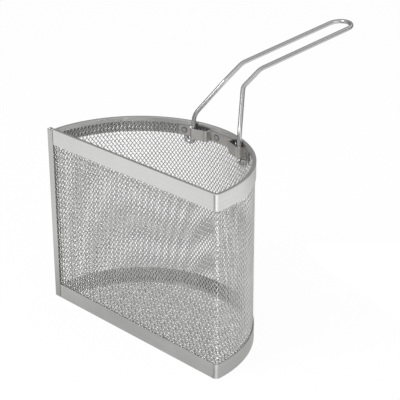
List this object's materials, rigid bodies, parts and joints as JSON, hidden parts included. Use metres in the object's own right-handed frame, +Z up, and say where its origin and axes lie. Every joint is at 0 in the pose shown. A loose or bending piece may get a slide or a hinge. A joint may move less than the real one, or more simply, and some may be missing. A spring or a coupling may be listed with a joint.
{
  "type": "pasta basket",
  "caption": "Half-round wire-mesh basket with folded steel rim and foot bands, a seam strip, a two-loop bracket and a long bent wire handle.",
  "frame": {"origin": "on the ground, at the middle of the bottom edge of the flat front", "axes": "+Z up; the flat front faces -Y and the round wall and handle point to +Y; +X runs along the flat front, away from the seam strip"},
  "size_m": [0.2592, 0.3219, 0.2918],
  "materials": {
    "wire_mesh": "woven wire, satin",
    "sheet_steel": "brushed along the strip",
    "bracket_steel": "satin with weld marks",
    "polished_wire": "polished stainless wire"
  },
  "bodies": {
    "root": {"wall_mesh": "wire_mesh", "floor_mesh": "wire_mesh", "rim_band": "sheet_steel", "foot_band": "sheet_steel", "seam_strip": "sheet_steel", "handle_bracket": "bracket_steel", "handle": "polished_wire"}
  },
  "joints": []
}
